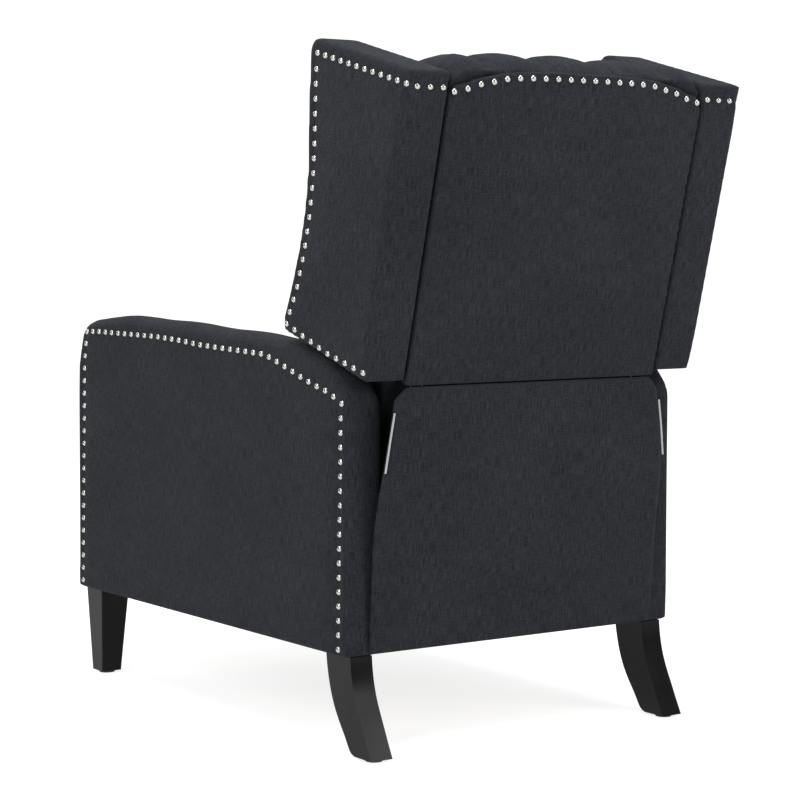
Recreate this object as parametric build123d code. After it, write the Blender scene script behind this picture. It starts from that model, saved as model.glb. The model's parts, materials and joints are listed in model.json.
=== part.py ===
from build123d import *
import math
import os

# Push-back wing recliner. Millimetres. The sitter faces -Y, +X is the sitter's left, the floor is Z = 0.
# Everything is laid out from the plane of the arms' rear ends (Y = 0) and centred front to back when saved.

# ---- driving dimensions -------------------------------------------------------------------
WIDTH = 640.0            # over the two arms
HALF = WIDTH / 2
ARM_T = 64.0             # thickness of an arm
ARM_FRONT = -875.0       # front of the arms at the bottom
ARM_BOTTOM = 152.0
COVER_T = 2.5            # upholstery cloth with its backing
NAIL_D = 10.0            # nailhead
NAIL_H = 3.2
LEAN = 14.41             # lean of the back, degrees
BACK_Y = 45.56           # back's own origin, on its rear face at the foot
BACK_Z = 569.06
WING_TOP = 465.0
PIVOT = (-60.0, 400.0)   # recline pivot (Y, Z)
CRANK_A = (-680.0, 368.0)      # crank pivot on the seat bracket
CRANK_STEP = (101.5, -169.5)   # crank pivot to its far pivot
GUIDE_OFF = (-46.5, 18.4)      # guide arm's pivot from the crank's, along the carrying link
CARRY = (0.0, 43.0)            # second pivot on the crank plate and on the footrest bracket
LINK_STEP = (-213.5, 84.5)     # carrying link, crank end to footrest end
LINK_W = 20.0
STEEL_T = 4.0
PIN_R = 4.0
RUN = 0.05               # running clearance on a pin
SEAT_TOP = 478.0
SEAT_HALF = 251.0

os.makedirs("parts", exist_ok=True)
PIECES = {}              # node name to its separate solids
lean_sin = math.sin(math.radians(LEAN))
lean_cos = math.cos(math.radians(LEAN))


def save(name, *shapes):
    """Put a piece, or a group of like pieces, in a node."""
    PIECES.setdefault(name, [])
    for s in shapes:
        PIECES[name] += list(s.solids())


def box(x0, x1, y0, y1, z0, z1):
    return Pos((x0 + x1) / 2, (y0 + y1) / 2, (z0 + z1) / 2) * Box(abs(x1 - x0), abs(y1 - y0), abs(z1 - z0))


def slab(points, x0, x1):
    """A side outline of (y, z) points pushed through in X."""
    wire = Polyline([(0, y, z) for y, z in points], close=True)
    s = extrude(make_face(wire), amount=x1 - x0, dir=(1, 0, 0))
    return s.moved(Location((x0, 0, 0)))


def rod(x0, x1, y, z, r):
    """A round bar along X."""
    return Pos((x0 + x1) / 2, y, z) * Rot(0, 90, 0) * Cylinder(r, abs(x1 - x0))


def mirror_x(shape):
    return mirror(shape, about=Plane.YZ)


def tilt(u, v):
    """Back's own coordinates (u up its rear face, v forward from it) to (y, z)."""
    return (BACK_Y + u * lean_sin - v * lean_cos, BACK_Z + u * lean_cos + v * lean_sin)


def back_box(x0, x1, u0, u1, v0, v1):
    y, z = tilt((u0 + u1) / 2, (v0 + v1) / 2)
    return Pos((x0 + x1) / 2, y, z) * Rot(-LEAN, 0, 0) * Box(abs(x1 - x0), abs(v1 - v0), abs(u1 - u0))


def round_edges(shape, edges, radius):
    """Largest of a few radii that the solid takes."""
    for r in (radius, radius * 0.8, radius * 0.6, radius * 0.4):
        try:
            out = fillet(edges, r)
            if out.is_valid and out.volume > 0:
                return out
        except Exception:
            continue
    print("left square", radius)
    return shape


# ---- arms ----------------------------------------------------------------------------------
ARM_TOP = [(-866, 614), (-852, 629), (-825, 638), (-780, 642), (-720, 645), (-650, 644.5), (-586, 643),
           (-477, 639), (-373, 634), (-250, 629), (-180, 624), (-127, 617), (-70, 600), (-30, 578), (-2, 548)]


def shrink(ring, inset):
    """A closed outline moved in by inset all round."""
    n = len(ring)
    out = []
    for i, (y, z) in enumerate(ring):
        (y0, z0), (y1, z1) = ring[i - 1], ring[(i + 1) % n]
        a, b = math.hypot(y - y0, z - z0), math.hypot(y1 - y, z1 - z)
        n0, n1 = ((z - z0) / a, -(y - y0) / a), ((z1 - z) / b, -(y1 - y) / b)
        k = inset / (1 + n0[0] * n1[0] + n0[1] * n1[1])
        out.append((y + k * (n0[0] + n1[0]), z + k * (n0[1] + n1[1])))
    return out


def arm_outline(inset):
    """Side outline of an arm, shrunk by inset all round."""
    ring = [(ARM_FRONT, ARM_BOTTOM)] + ARM_TOP + [(-8, ARM_BOTTOM)]
    return shrink(ring, inset) if inset else ring


def arm_solid(inset, x0, x1):
    """An arm's padded outer shape with its long top edges rolled over."""
    ring = arm_outline(inset)
    solid = slab(ring, x0, x1)
    top = []
    for e in solid.edges():
        c = e.center()
        if abs(e.tangent_at(0.5).X) < 0.1 and c.Z > 560 - inset and -866 < c.Y < -4:
            top.append(e)
    radius = 21.0 - inset
    try:
        out = fillet(top, radius)
        if out.is_valid:
            return out
    except Exception:
        pass
    try:
        out = chamfer(top, radius * 0.6)
        if out.is_valid:
            print("arm top chamfered", inset)
            return out
    except Exception:
        pass
    print("arm top left square", inset)
    return solid


ARM_IN = HALF - ARM_T            # inner face
cover_outer = arm_solid(0, ARM_IN, HALF)
cover_inner = arm_solid(COVER_T, ARM_IN + COVER_T, HALF - COVER_T)
open_foot = box(ARM_IN + COVER_T, HALF - COVER_T, ARM_FRONT + COVER_T, -8 - COVER_T, ARM_BOTTOM - 5, ARM_BOTTOM + 20)
arm_cover = cover_outer - cover_inner - open_foot
frame_inner = ARM_IN + COVER_T + 6
frame_outer = HALF - COVER_T - 6


def arm_frame_solid():
    """Plywood side with hardwood posts and rails glued round it."""
    x0, x1 = frame_inner, frame_outer
    ply = slab([(-862, 160), (-858, 590), (-140, 590), (-20, 540), (-20, 160)], x0, x0 + 12)
    post_f = slab([(-862, 160), (-858, 590), (-818, 590), (-818, 160)], x0 + 12, x1)
    post_r = slab([(-62, 160), (-62, 558), (-20, 540), (-20, 160)], x0 + 12, x1)
    bottom = slab([(-818, 160), (-818, 200), (-62, 200), (-62, 160)], x0 + 12, x1)
    top = slab([(-818, 556), (-818, 590), (-140, 590), (-62, 558), (-62, 524), (-150, 556)], x0 + 12, x1)
    return ply + post_f + post_r + bottom + top


arm_frame = arm_frame_solid()
arm_padding = cover_inner - arm_frame


def along(points, pitch):
    """Evenly spaced points along a broken line, both ends included."""
    lengths = [math.dist(points[i], points[i + 1]) for i in range(len(points) - 1)]
    count = max(1, round(sum(lengths) / pitch))
    out = []
    for k in range(count + 1):
        s = sum(lengths) * k / count
        i = 0
        while i < len(lengths) - 1 and s > lengths[i]:
            s -= lengths[i]
            i += 1
        a, b = points[i], points[i + 1]
        t = min(1.0, s / lengths[i])
        out.append((a[0] + (b[0] - a[0]) * t, a[1] + (b[1] - a[1]) * t))
    return out


def nail():
    """A domed upholstery nail, head on +Z with its shank below."""
    r = (NAIL_D * NAIL_D / 4 + NAIL_H * NAIL_H) / (2 * NAIL_H)
    head = Pos(0, 0, NAIL_H - r) * Sphere(r) & Pos(0, 0, NAIL_H / 2) * Cylinder(NAIL_D, NAIL_H)
    return head + Pos(0, 0, -6) * Cylinder(0.9, 12.2)


NAIL = nail().solids()[0]
# nail lines of an arm's outer face, each with its pitch
ARM_NAIL_LINES = [
    ([(-863, 165), (-857, 380), (-852, 560), (-846, 594)], 22.3),
    ([(-844, 615), (-806, 617), (-657, 616), (-586, 615.5), (-509, 612), (-437, 607), (-360, 604), (-288, 602),
      (-239, 600), (-211, 593), (-165, 580), (-123, 567), (-84, 557), (-61, 552), (-39, 544), (-18, 535)], 23.8),
    ([(-20, 513), (-22, 400), (-28, 163)], 21.9)]
arm_nails = [NAIL.moved(Location((HALF, y, z), (0, 90, 0)))
             for line, pitch in ARM_NAIL_LINES for y, z in along(line, pitch)]

save("arm_frame_left", arm_frame)
save("arm_frame_right", mirror_x(arm_frame))
save("arm_padding", arm_padding, mirror_x(arm_padding))
save("arm_cover_left", arm_cover)
save("arm_cover_right", mirror_x(arm_cover))
save("arm_nails_left", *arm_nails)
save("arm_nails_right", *[mirror_x(n) for n in arm_nails])

# ---- legs ----------------------------------------------------------------------------------
GLIDE_H = 4.0
LEG_TOP = ARM_BOTTOM


def front_leg():
    top = Face(Polyline([(252.5, -870, LEG_TOP), (308, -870, LEG_TOP), (308, -810, LEG_TOP),
                         (252.5, -810, LEG_TOP)], close=True).wire())
    foot = Face(Polyline([(270, -849, GLIDE_H), (308, -849, GLIDE_H), (308, -809.5, GLIDE_H),
                          (270, -809.5, GLIDE_H)], close=True).wire())
    return loft([foot, top])


def rear_leg():
    ring = Spline([(0, -10, LEG_TOP), (0, -7, 126), (0, 3, 89), (0, 20, 53), (0, 33, 27), (0, 45, GLIDE_H)])
    fore = Spline([(0, 4, GLIDE_H), (0, -10, 9), (0, -21, 24), (0, -39, 49), (0, -55, 75), (0, -67, 106),
                   (0, -76, LEG_TOP)])
    top = Line((0, -76, LEG_TOP), (0, -10, LEG_TOP))
    sole = Line((0, 45, GLIDE_H), (0, 4, GLIDE_H))
    s = extrude(make_face(Wire([top, ring, sole, fore])), amount=39.5, dir=(1, 0, 0))
    return s.moved(Location((268.5, 0, 0)))


leg_f, leg_r = front_leg(), rear_leg()
leg_f = round_edges(leg_f, [e for e in leg_f.edges() if abs(e.tangent_at(0.5).Z) > 0.9], 2.5)
save("front_leg_left", leg_f)
save("front_leg_right", mirror_x(leg_f))
save("rear_leg_left", leg_r)
save("rear_leg_right", mirror_x(leg_r))
glides = []
for x, y, r in ((289, -829, 14), (288, 24, 13)):
    g = Pos(x, y, GLIDE_H / 2) * Cylinder(r, GLIDE_H)
    glides += [g, mirror_x(g)]
save("leg_glides", *glides)
bolts = []
for x, y in ((286, -836), (288, -44)):
    b = Pos(x, y, ARM_BOTTOM + 4) * Cylinder(4, 72)
    bolts += [b, mirror_x(b)]
save("leg_bolts", *bolts)

# ---- base rails that tie the arms together -------------------------------------------------
RAIL_X = ARM_IN
front_stretcher = box(-RAIL_X, RAIL_X, -806, -788, 152, 170)
rear_rail = box(-RAIL_X, RAIL_X, -46, -24, 160, 250)
cross_rail = box(-RAIL_X, RAIL_X, -330, -308, 222, 292)
save("front_stretcher", front_stretcher)
save("rear_rail", rear_rail)
save("middle_rail", cross_rail)
blocks = []
for sx in (1, -1):
    b = Polyline([(sx * RAIL_X, -46, 170), (sx * (RAIL_X - 56), -46, 170), (sx * RAIL_X, -102, 170)], close=True)
    blocks.append(extrude(make_face(b), amount=60, dir=(0, 0, 1)))
    b = Polyline([(sx * RAIL_X, -308, 232), (sx * (RAIL_X - 50), -308, 232), (sx * RAIL_X, -258, 232)], close=True)
    blocks.append(extrude(make_face(b), amount=50, dir=(0, 0, 1)))
save("corner_blocks", *blocks)

# ---- mechanism side plates on the base -----------------------------------------------------
PLATE_X = ARM_IN                 # screwed against the arms' inner faces
plate = slab([(-620, 296), (-620, 340), (-200, 340), (-110, 420), (-38, 422), (-36, 380), (-110, 330),
              (-160, 296)], PLATE_X - STEEL_T, PLATE_X)
ledge = box(PLATE_X - 22, PLATE_X - STEEL_T, -610, -190, 336, 340)     # track that carries the seat runner
recline_hole = rod(PLATE_X - 10, PLATE_X + 1, *PIVOT, PIN_R + 3 + RUN)
plate_left = (plate + ledge) - recline_hole
save("mechanism_plate_left", plate_left)
save("mechanism_plate_right", mirror_x(plate_left))
screws = []
for y, z in ((-560, 316), (-380, 316), (-220, 316)):
    s = rod(PLATE_X - STEEL_T - 2.4, PLATE_X - STEEL_T, y, z, 6) + rod(PLATE_X - STEEL_T, PLATE_X + 26, y, z, 2.4)
    screws += [s, mirror_x(s)]
save("plate_screws", *screws)

# ---- back ----------------------------------------------------------------------------------
FRAME_X = 228.0                  # outside of the back frame's posts
POST_U0 = -20.0
post = back_box(206, FRAME_X, POST_U0, 440, 10, 44)
foot = slab([(-92, 380), (-40, 380), tilt(POST_U0 + 4, 12), tilt(POST_U0 + 4, 44)], 206, FRAME_X)
post_left = post + foot
top_rail = back_box(-206, 206, 400, 440, 10, 44)
mid_rail = back_box(-206, 206, 8, 48, 10, 44)
low_rail = box(-206, 206, -88, -60, 388, 424)
back_frame = post_left + mirror_x(post_left) + top_rail + mid_rail + low_rail
save("back_frame", back_frame)


def zigzag(x0, x1, place, waves, amp, r):
    """A sinuous spring: a wire that snakes across between two rails."""
    n = waves * 2
    pts = [(x0, 0)]
    for i in range(n):
        x = x0 + (x1 - x0) * (i + 0.5) / n
        pts.append((x, amp if i % 2 else -amp))
    pts.append((x1, 0))
    pts = [place(a, b) for a, b in pts]
    path = FilletPolyline(*pts, radius=7)
    section = Plane(origin=path @ 0, z_dir=path % 0) * Circle(r)
    return sweep(section, path=path)


springs = []
for u in (110, 190, 270, 350):
    def place(x, b, u=u):
        y, z = tilt(u + b, 47.5)
        return (x, y, z)
    springs.append(zigzag(-215, 215, place, 7, 17, 1.8))
save("back_springs", *springs)
clips = []
for u in (110, 190, 270, 350):
    for sx in (1, -1):
        clips.append(back_box(sx * 209, sx * 221, u - 8, u + 8, 44, 45.7))
save("back_spring_clips", *clips)

BACK_PAD_X = 240.0
PANEL_TOP = 472.0
panel_out = back_box(-243, 243, -9, PANEL_TOP, 0, 3)
panel_out = fillet([e for e in panel_out.edges() if abs(e.tangent_at(0.5).X) < 0.1
                    and abs(e.tangent_at(0.5).Z) < 0.5 and e.center().Z > tilt(400, 0)[1]], 40)
pad_ring = [(-140, 80), (-140, 186), (-128, 196), (424, 196), (446, 188), (462, 168), (474, 132), (483, 92),
            (488, 52), (485, 22), (474, 3), (450, 3), (450, 51), (-40, 55)]
pad = slab([tilt(u, v) for u, v in pad_ring], -BACK_PAD_X, BACK_PAD_X)
mould = back_box(-BACK_PAD_X, BACK_PAD_X, -150, 489, -20, 220)
mould = fillet([e for e in mould.edges() if abs(e.tangent_at(0.5).X) < 0.1 and abs(e.tangent_at(0.5).Z) < 0.5
                and e.center().Z > tilt(400, 100)[1]], 36)
back_cushion = pad & mould
save("back_cushion", back_cushion)
save("outer_back_panel", panel_out)
save("back_webbing", *[back_box(-228, 228, u, u + 50, 4.0, 6.0) for u in (70, 160, 250, 340)])

BUTTON_R = 10.0
buttons = []
FOUR, THREE = (-172, -57, 57, 172), (-115, 0, 115)
for u, xs in ((420, FOUR), (345, THREE), (270, FOUR), (195, THREE), (120, FOUR)):
    for x in xs:
        y, z = tilt(u, 196)
        b = Pos(x, y, z) * Rot(90 - LEAN, 0, 0) * (Pos(0, 0, 1.6) * Cylinder(BUTTON_R, 3.2))
        buttons.append(b)
save("back_buttons", *buttons)


def wing_outline():
    front = [(14, 238), (33, 239), (86, 229), (148, 222), (208, 221), (267, 227), (320, 240), (377, 252),
             (430, 262), (452, 264), (464, 252)]
    return [(0, 0)] + front + [(WING_TOP, 236), (WING_TOP, 4)]


def wing_solid(inset, x0, x1):
    ring = [tilt(u, v) for u, v in wing_outline()]
    if inset:
        ring = shrink(ring, inset)
    s = slab(ring, x0, x1)
    if inset == 0:
        s = round_edges(s, [e for e in s.edges() if abs(e.tangent_at(0.5).X) < 0.1
                            and e.center().Y < tilt(230, 150)[0] - 20 and e.center().X < x0 + 1], 12)
    return s


WING_IN, WING_OUT = 252.0, 321.0
wing_outer = wing_solid(0, WING_IN, WING_OUT)
wing_inner = wing_solid(COVER_T, WING_IN, WING_OUT - COVER_T)
wing_cover = wing_outer - wing_inner
wing_core = slab([tilt(u, v) for u, v in ((14, 12), (30, 222), (148, 206), (208, 205), (377, 234), (446, 244),
                                          (450, 12))], WING_IN + 16, WING_OUT - 12)
wing_padding = wing_inner - wing_core
save("wing_frame_left", wing_core)
save("wing_frame_right", mirror_x(wing_core))
save("wing_padding", wing_padding, mirror_x(wing_padding))
save("wing_cover_left", wing_cover)
save("wing_cover_right", mirror_x(wing_cover))
# nail lines of a wing's outer face as (u, v), each with its pitch
WING_NAIL_LINES = [
    ([(445, 8), (445, 245)], 21.2),
    ([(421, 242), (377, 234), (320, 221), (267, 212), (208, 206), (148, 207), (86, 213.5), (45, 224)], 22.5),
    ([(25, 229), (20, 181), (13, 109), (13, 10)], 24.4)]
wing_nails = []
for line, pitch in WING_NAIL_LINES:
    for u, v in along(line, pitch):
        y, z = tilt(u, v)
        wing_nails.append(NAIL.moved(Location((WING_OUT, y, z), (0, 90, 0))))
for x in (258, 279, 300):
    y, z = tilt(441, 0)
    wing_nails.append(NAIL.moved(Location((x, y, z), (-90 - LEAN, 0, 0))))
save("wing_nails_left", *wing_nails)
save("wing_nails_right", *[mirror_x(n) for n in wing_nails])
BACK_ARCH = [(0, 463), (49, 463), (97, 462), (120, 461), (145, 459), (167, 454), (193, 449), (215, 441), (235, 437)]
back_nails = []
for x, u in along([(-x, u) for x, u in BACK_ARCH[::-1]] + BACK_ARCH[1:], 24.0):
    y, z = tilt(u, 0)
    back_nails.append(NAIL.moved(Location((x, y, z), (-90 - LEAN, 0, 0))))
save("back_nails", *back_nails)
# wooden ties between the back frame and the wings
ties = []
for u in (60, 400):
    t = back_box(FRAME_X, WING_IN, u, u + 30, 14, 40)
    ties += [t, mirror_x(t)]
save("wing_ties", *ties)

# back brackets and recline pins
bracket = slab([(-86, 376), (-34, 376), (-30, 424), (-36, 462), (-50, 462), (-86, 430)], FRAME_X, FRAME_X + STEEL_T)
pin = rod(FRAME_X + STEEL_T, PLATE_X - 0.4, *PIVOT, PIN_R + 3)
bracket_left = bracket + pin
save("back_brackets", bracket_left, mirror_x(bracket_left))

# ---- lower rear cloth ----------------------------------------------------------------------
flap_ring = [(1, 156), (6, 200), (19, 340), (35, 430), (39, 520), (40, 552), (37, 552), (36, 520), (32, 430),
             (16, 340), (3, 200), (-2, 156)]
flap = slab(flap_ring, -280, 280)
for sx in (1, -1):
    flap = flap - box(sx * 243, sx * 290, 0, 60, 536, 560) - box(sx * 264, sx * 290, 0, 60, 470, 560)
save("lower_rear_cloth", flap)
tapes = []
for sx in (1, -1):
    tapes.append(slab([(39.2, 518), (35.4, 432), (37.6, 432), (41.4, 518)], sx * 258, sx * 263))
save("rear_zip_tapes", *tapes)

# ---- seat ----------------------------------------------------------------------------------
SEAT_FRONT, SEAT_REAR = -866.0, -188.0
RAIL_Z0, RAIL_Z1 = 372.0, 404.0
side_rail = box(SEAT_HALF - 51, SEAT_HALF - 27, -846, SEAT_REAR + 4, RAIL_Z0, RAIL_Z1)
seat_front = box(-200, 200, -846, -822, RAIL_Z0, RAIL_Z1)
seat_back = box(-200, 200, SEAT_REAR - 20, SEAT_REAR + 4, RAIL_Z0, RAIL_Z1)
seat_frame = side_rail + mirror_x(side_rail) + seat_front + seat_back
save("seat_frame", seat_frame)
deck = box(-222, 222, -844, SEAT_REAR + 2, RAIL_Z1, RAIL_Z1 + 2)
save("seat_deck", deck)
springs = []
for x in (-150, -75, 0, 75, 150):
    def place(a, b, x=x):
        return (x + b, a, RAIL_Z1 - 6)
    springs.append(zigzag(-822, SEAT_REAR - 20, place, 8, 17, 1.8))
save("seat_springs", *springs)
cushion = box(-SEAT_HALF, SEAT_HALF, SEAT_FRONT, SEAT_REAR, RAIL_Z1 + 2, SEAT_TOP)
cushion = round_edges(cushion, [e for e in cushion.edges() if e.center().Z > RAIL_Z1 + 10], 24)
save("seat_cushion", cushion)
apron = box(-SEAT_HALF + 2, SEAT_HALF - 2, SEAT_FRONT + 4, -846, 371, RAIL_Z1 + 2)
save("seat_front_band", apron)

# runners that slide on the base ledges, and the brackets that carry the footrest linkage
runner = box(SEAT_HALF - 27, PLATE_X - STEEL_T - 1.2, -600, -286, 340.3, 344) + \
    box(SEAT_HALF - 27, SEAT_HALF - 23, -600, -286, 344, RAIL_Z1 - 2)
save("seat_runners", runner, mirror_x(runner))
A, B = CRANK_A, (CRANK_A[0] + GUIDE_OFF[0], CRANK_A[1] + GUIDE_OFF[1])
C = (A[0] + CRANK_STEP[0], A[1] + CRANK_STEP[1])
D = (C[0] + GUIDE_OFF[0], C[1] + GUIDE_OFF[1])
E = (C[0] + CARRY[0], C[1] + CARRY[1])
F = (C[0] + LINK_STEP[0], C[1] + LINK_STEP[1])
G = (F[0] + CARRY[0], F[1] + CARRY[1])
LAY_BRACKET = (SEAT_HALF - 27, SEAT_HALF - 23)
LAY_CRANK = (229.0, 233.0)
LAY_CARRY = (234.5, 238.5)
LAY_UPPER = (223.7, 227.7)


def bar(points, layer, holes=()):
    """A flat steel link: round ends joined straight, with its pin holes."""
    x0, x1 = layer
    r = LINK_W / 2
    out = None
    for i in range(len(points) - 1):
        (ya, za), (yb, zb) = points[i], points[i + 1]
        n = math.hypot(yb - ya, zb - za)
        ny, nz = -(zb - za) / n * r, (yb - ya) / n * r
        piece = slab([(ya + ny, za + nz), (yb + ny, zb + nz), (yb - ny, zb - nz), (ya - ny, za - nz)], x0, x1)
        out = piece if out is None else out + piece
    for y, z in points:
        out = out + rod(x0, x1, y, z, r)
    for (y, z), extra in holes:
        out = out - rod(x0 - 1, x1 + 1, y, z, PIN_R + extra)
    return out


# seat bracket holds pins A and B
seat_bracket = slab([(-744, 376), (-700, 352), (-660, 352), (-600, 372), (-600, 402), (-744, 402)], *LAY_BRACKET)
seat_bracket = seat_bracket + rod(LAY_BRACKET[1], LAY_CRANK[1] + 0.8, *A, PIN_R) + \
    rod(LAY_BRACKET[1], LAY_CRANK[1] + 0.8, *B, PIN_R)
save("linkage_brackets", seat_bracket, mirror_x(seat_bracket))
crank = bar([A, C, E], LAY_CRANK, [(A, RUN)])
web = slab([A, C, E], *LAY_CRANK) - rod(LAY_CRANK[0] - 1, LAY_CRANK[1] + 1, *A, PIN_R + RUN)
crank = crank + web
crank = crank + rod(LAY_CRANK[1], LAY_CARRY[1] + 0.8, *C, PIN_R) + rod(LAY_UPPER[0] - 0.8, LAY_CRANK[0], *E, PIN_R)
save("crank_left", crank)
save("crank_right", mirror_x(crank))
tube_at = (A[0] + CRANK_STEP[0] * 0.45, A[1] + CRANK_STEP[1] * 0.45)
save("torque_tube", rod(-LAY_CRANK[0], LAY_CRANK[0], *tube_at, 9) -
     rod(-LAY_CRANK[0] - 1, LAY_CRANK[0] + 1, *tube_at, 7.5))
guide = bar([B, D], LAY_CRANK, [(B, RUN), (D, 0.5)])
save("guide_arm_left", guide)
save("guide_arm_right", mirror_x(guide))
carry = bar([F, C], LAY_CARRY, [(C, RUN)])
carry = carry + rod(LAY_CRANK[0] - 0.8, LAY_CARRY[0], *D, PIN_R) + \
    rod(LAY_CRANK[0] - 0.8, LAY_CARRY[0], *F, PIN_R)
save("carrying_link_left", carry)
save("carrying_link_right", mirror_x(carry))
upper = bar([G, E], LAY_UPPER, [(E, RUN), (G, 0.5)])
save("upper_link_left", upper)
save("upper_link_right", mirror_x(upper))

# ---- footrest ------------------------------------------------------------------------------
FOOT_HALF = 246.0
FOOT_Z0, FOOT_Z1 = 166.0, 362.0
foot_bracket = slab([(-812, 256), (-812, 350), (F[0] + 8, 340), (F[0] + 12, 280), (-800, 256)], *LAY_CRANK)
foot_bracket = foot_bracket - rod(LAY_CRANK[0] - 1, LAY_CRANK[1] + 1, *F, PIN_R + RUN)
foot_bracket = foot_bracket + rod(LAY_UPPER[0] - 0.8, LAY_CRANK[0], *G, PIN_R) + \
    box(200, LAY_CRANK[0], -814, -811, 262, 344)
save("footrest_brackets", foot_bracket, mirror_x(foot_bracket))
board = box(-FOOT_HALF + 8, FOOT_HALF - 8, -829, -814, FOOT_Z0 + 6, FOOT_Z1 - 6)
save("footrest_board", board)
foot_pad = box(-FOOT_HALF, FOOT_HALF, -872, -829, FOOT_Z0, FOOT_Z1)
foot_pad = round_edges(foot_pad, [e for e in foot_pad.edges() if e.center().Y < -860], 16)
save("footrest_pad", foot_pad)
screws = []
for z in (276, 330):
    s = Pos(214, -808.5, z) * Rot(90, 0, 0) * Cylinder(4.5, 5) + Pos(214, -819, z) * Rot(90, 0, 0) * Cylinder(2, 16)
    screws += [s, mirror_x(s)]
save("footrest_screws", *screws)

# ---- save, with the whole chair centred front to back over the floor ------------------------
boxes = [s.bounding_box() for solids in PIECES.values() for s in solids]
low, high = min(b.min.Y for b in boxes), max(b.max.Y for b in boxes)
shift = -(low + high) / 2
for name, solids in PIECES.items():
    export_step(Compound(children=[s.moved(Location((0, shift, 0))) for s in solids]), f"parts/{name}.step")
    print(name, len(solids), "solids", round(sum(s.volume for s in solids) / 1000, 1), "cm3")
print("nodes", len(PIECES), "shift", round(shift, 3), "depth", round(high - low, 2),
      "top", round(max(b.max.Z for b in boxes), 2), "half width", round(max(b.max.X for b in boxes), 2))
print("pivots", [(k, round(p[0] + shift, 2), round(p[1], 2)) for k, p in
                 dict(A=A, B=B, C=C, D=D, E=E, F=F, G=G, recline=PIVOT).items()])
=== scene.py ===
"""Wing recliner: upholstery, nailheads, finishes and a studio stage, built round the chair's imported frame."""
import json
import math

import bmesh
import bpy
import numpy as np
from mathutils import Matrix, Vector


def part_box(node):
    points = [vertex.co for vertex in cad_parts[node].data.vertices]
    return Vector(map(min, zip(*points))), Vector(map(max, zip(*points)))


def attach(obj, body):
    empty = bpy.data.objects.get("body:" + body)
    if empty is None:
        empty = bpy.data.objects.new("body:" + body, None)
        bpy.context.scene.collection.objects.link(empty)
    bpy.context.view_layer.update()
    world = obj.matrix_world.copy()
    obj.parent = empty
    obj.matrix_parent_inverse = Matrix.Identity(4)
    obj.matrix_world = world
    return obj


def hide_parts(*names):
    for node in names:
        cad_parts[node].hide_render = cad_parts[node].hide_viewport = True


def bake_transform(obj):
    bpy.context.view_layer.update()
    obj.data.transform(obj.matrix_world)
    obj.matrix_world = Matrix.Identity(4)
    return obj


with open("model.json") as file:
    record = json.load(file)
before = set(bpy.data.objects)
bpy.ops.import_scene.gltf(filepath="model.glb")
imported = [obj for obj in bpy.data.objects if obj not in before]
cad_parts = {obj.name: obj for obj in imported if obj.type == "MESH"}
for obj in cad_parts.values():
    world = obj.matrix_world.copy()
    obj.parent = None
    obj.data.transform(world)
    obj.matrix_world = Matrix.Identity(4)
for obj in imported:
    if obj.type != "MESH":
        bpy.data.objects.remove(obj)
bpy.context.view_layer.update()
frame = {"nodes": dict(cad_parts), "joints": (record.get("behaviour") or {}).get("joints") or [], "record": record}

bl_info = {
    "name": "Wing Recliner Upholstery",
    "version": (1, 0, 0),
    "blender": (4, 5, 0),
    "location": "3D View > Sidebar > Recliner",
    "description": "Upholsters, trims and finishes a push-back wing recliner",
    "category": "Object",
}

# ---- places taken from the frame ------------------------------------------------------------
JOINTS = {j["name"]: j for j in frame["joints"]}
PIVOT_AHEAD = 0.060                                       # recline pivot ahead of the arms' rear ends
REAR_Y = JOINTS["recline"]["pos_m"][1] + PIVOT_AHEAD      # plane of the arms' rear ends
BACK_FOOT = (0.04556, 0.56906)                            # foot of the back's rear face, from that plane
ARM_LOW, ARM_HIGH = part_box("arm_cover_left")
WING_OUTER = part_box("wing_cover_left")[1].x
SEAT_LOW, SEAT_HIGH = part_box("seat_cushion")
FOOT_LOW, FOOT_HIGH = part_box("footrest_pad")
BOARD_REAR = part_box("footrest_board")[1].y
BAND_LOW, BAND_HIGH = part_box("seat_front_band")
SIDES = (("left", 1), ("right", -1))

# side outline of an arm's rolled top, as (ahead of the rear plane is negative y, height)
ARM_TOP = [(-0.872, 0.604), (-0.868, 0.617), (-0.853, 0.631), (-0.825, 0.639), (-0.780, 0.643),
           (-0.720, 0.6465), (-0.650, 0.646), (-0.586, 0.644), (-0.477, 0.640), (-0.373, 0.635),
           (-0.250, 0.630), (-0.180, 0.625), (-0.127, 0.618), (-0.070, 0.602), (-0.030, 0.581),
           (-0.002, 0.550)]
ARM_FRONT_NAILS = [(-0.863, 0.165), (-0.857, 0.380), (-0.852, 0.560), (-0.846, 0.594)]
ARM_TOP_NAILS = [(-0.844, 0.615), (-0.806, 0.617), (-0.657, 0.616), (-0.586, 0.6155), (-0.509, 0.612),
                 (-0.437, 0.607), (-0.360, 0.604), (-0.288, 0.602), (-0.239, 0.600), (-0.211, 0.593),
                 (-0.165, 0.580), (-0.123, 0.567), (-0.084, 0.557), (-0.061, 0.552), (-0.039, 0.544),
                 (-0.018, 0.535)]
ARM_REAR_NAILS = [(-0.020, 0.513), (-0.022, 0.400), (-0.028, 0.163)]
ARM_NAIL_LINES = [(ARM_FRONT_NAILS, 0.0223), (ARM_TOP_NAILS, 0.0238), (ARM_REAR_NAILS, 0.0219)]
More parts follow.
